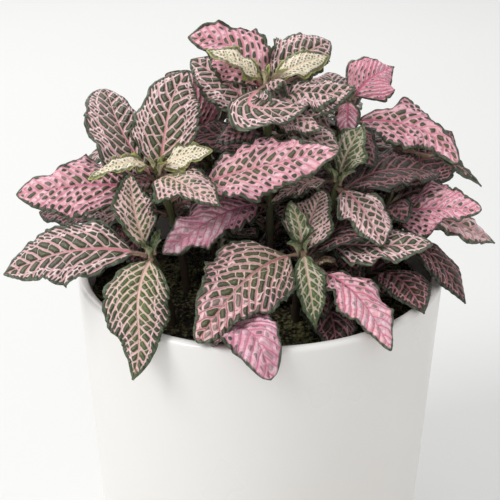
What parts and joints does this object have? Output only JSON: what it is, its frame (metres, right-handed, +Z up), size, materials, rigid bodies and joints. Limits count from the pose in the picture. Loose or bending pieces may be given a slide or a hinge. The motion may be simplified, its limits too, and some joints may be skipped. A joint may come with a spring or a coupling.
{
  "type": "potted nerve plant",
  "caption": "Bushy nerve plant with pink-veined dark green leaves on short leafy stems, rooted in soil in a plain white tapered pot.",
  "frame": {"origin": "centre of the pot's flat base", "axes": "+Z up along the pot's axis, -Y towards the side where leaves hang over the rim, +X to the right seen from there"},
  "size_m": [0.1691, 0.1549, 0.2006],
  "materials": {
    "pot": "smooth white glaze, softly glossy",
    "soil": "dark crumbly potting soil",
    "stem": "soft green, finely hairy",
    "nerved_leaf": "dark green with a fine net of pink veins",
    "flushed_leaf": "pink spread over most of the blade, dark green edge",
    "shaded_leaf": "nearly black green with thin dull red veins",
    "young_leaf": "cream, just unfolded",
    "fresh_leaf": "light green with pale veins"
  },
  "bodies": {
    "root": {"pot": "pot", "soil": "soil", "stem_back_left": "stem", "stem_back_right": "stem", "stem_crown": "stem", "stem_front": "stem", "stem_left": "stem", "stem_low_front": "stem", "stem_low_left": "stem", "stem_middle": "stem", "stem_rear": "stem", "stem_right": "stem", "leaf_back_left_back": "nerved_leaf", "leaf_back_left_left": "nerved_leaf", "leaf_back_left_low_left": "nerved_leaf", "leaf_back_left_up": "flushed_leaf", "leaf_back_right_long": "flushed_leaf", "leaf_back_right_strip": "flushed_leaf", "leaf_back_right_tail": "nerved_leaf", "leaf_back_right_up": "flushed_leaf", "leaf_crown_back_left": "flushed_leaf", "leaf_crown_back_right": "nerved_leaf", "leaf_crown_front": "nerved_leaf", "leaf_crown_left": "nerved_leaf", "leaf_crown_low_left": "flushed_leaf", "leaf_crown_low_right": "nerved_leaf", "leaf_crown_right": "nerved_leaf", "leaf_crown_young_left": "young_leaf", "leaf_crown_young_right": "young_leaf", "leaf_front_back": "shaded_leaf", "leaf_front_big": "nerved_leaf", "leaf_front_down": "fresh_leaf", "leaf_front_right": "flushed_leaf", "leaf_front_up": "fresh_leaf", "leaf_left_back": "nerved_leaf", "leaf_left_front": "nerved_leaf", "leaf_left_long_left": "flushed_leaf", "leaf_left_long_right": "flushed_leaf", "leaf_left_low": "nerved_leaf", "leaf_left_up": "nerved_leaf", "leaf_left_young_left": "young_leaf", "leaf_left_young_right": "young_leaf", "leaf_low_front_over_rim": "flushed_leaf", "leaf_low_left_long_left": "nerved_leaf", "leaf_low_left_over_rim": "nerved_leaf", "leaf_low_left_up": "nerved_leaf", "leaf_middle_left": "shaded_leaf", "leaf_middle_low_right": "nerved_leaf", "leaf_middle_right": "nerved_leaf", "leaf_middle_up": "fresh_leaf", "leaf_rear_left": "flushed_leaf", "leaf_rear_low_left": "shaded_leaf", "leaf_rear_low_right": "flushed_leaf", "leaf_rear_middle": "nerved_leaf", "leaf_rear_right": "nerved_leaf", "leaf_right_back": "shaded_leaf", "leaf_right_long": "flushed_leaf", "leaf_right_low": "shaded_leaf", "leaf_right_lowest": "shaded_leaf", "leaf_right_tail": "nerved_leaf"}
  },
  "joints": []
}
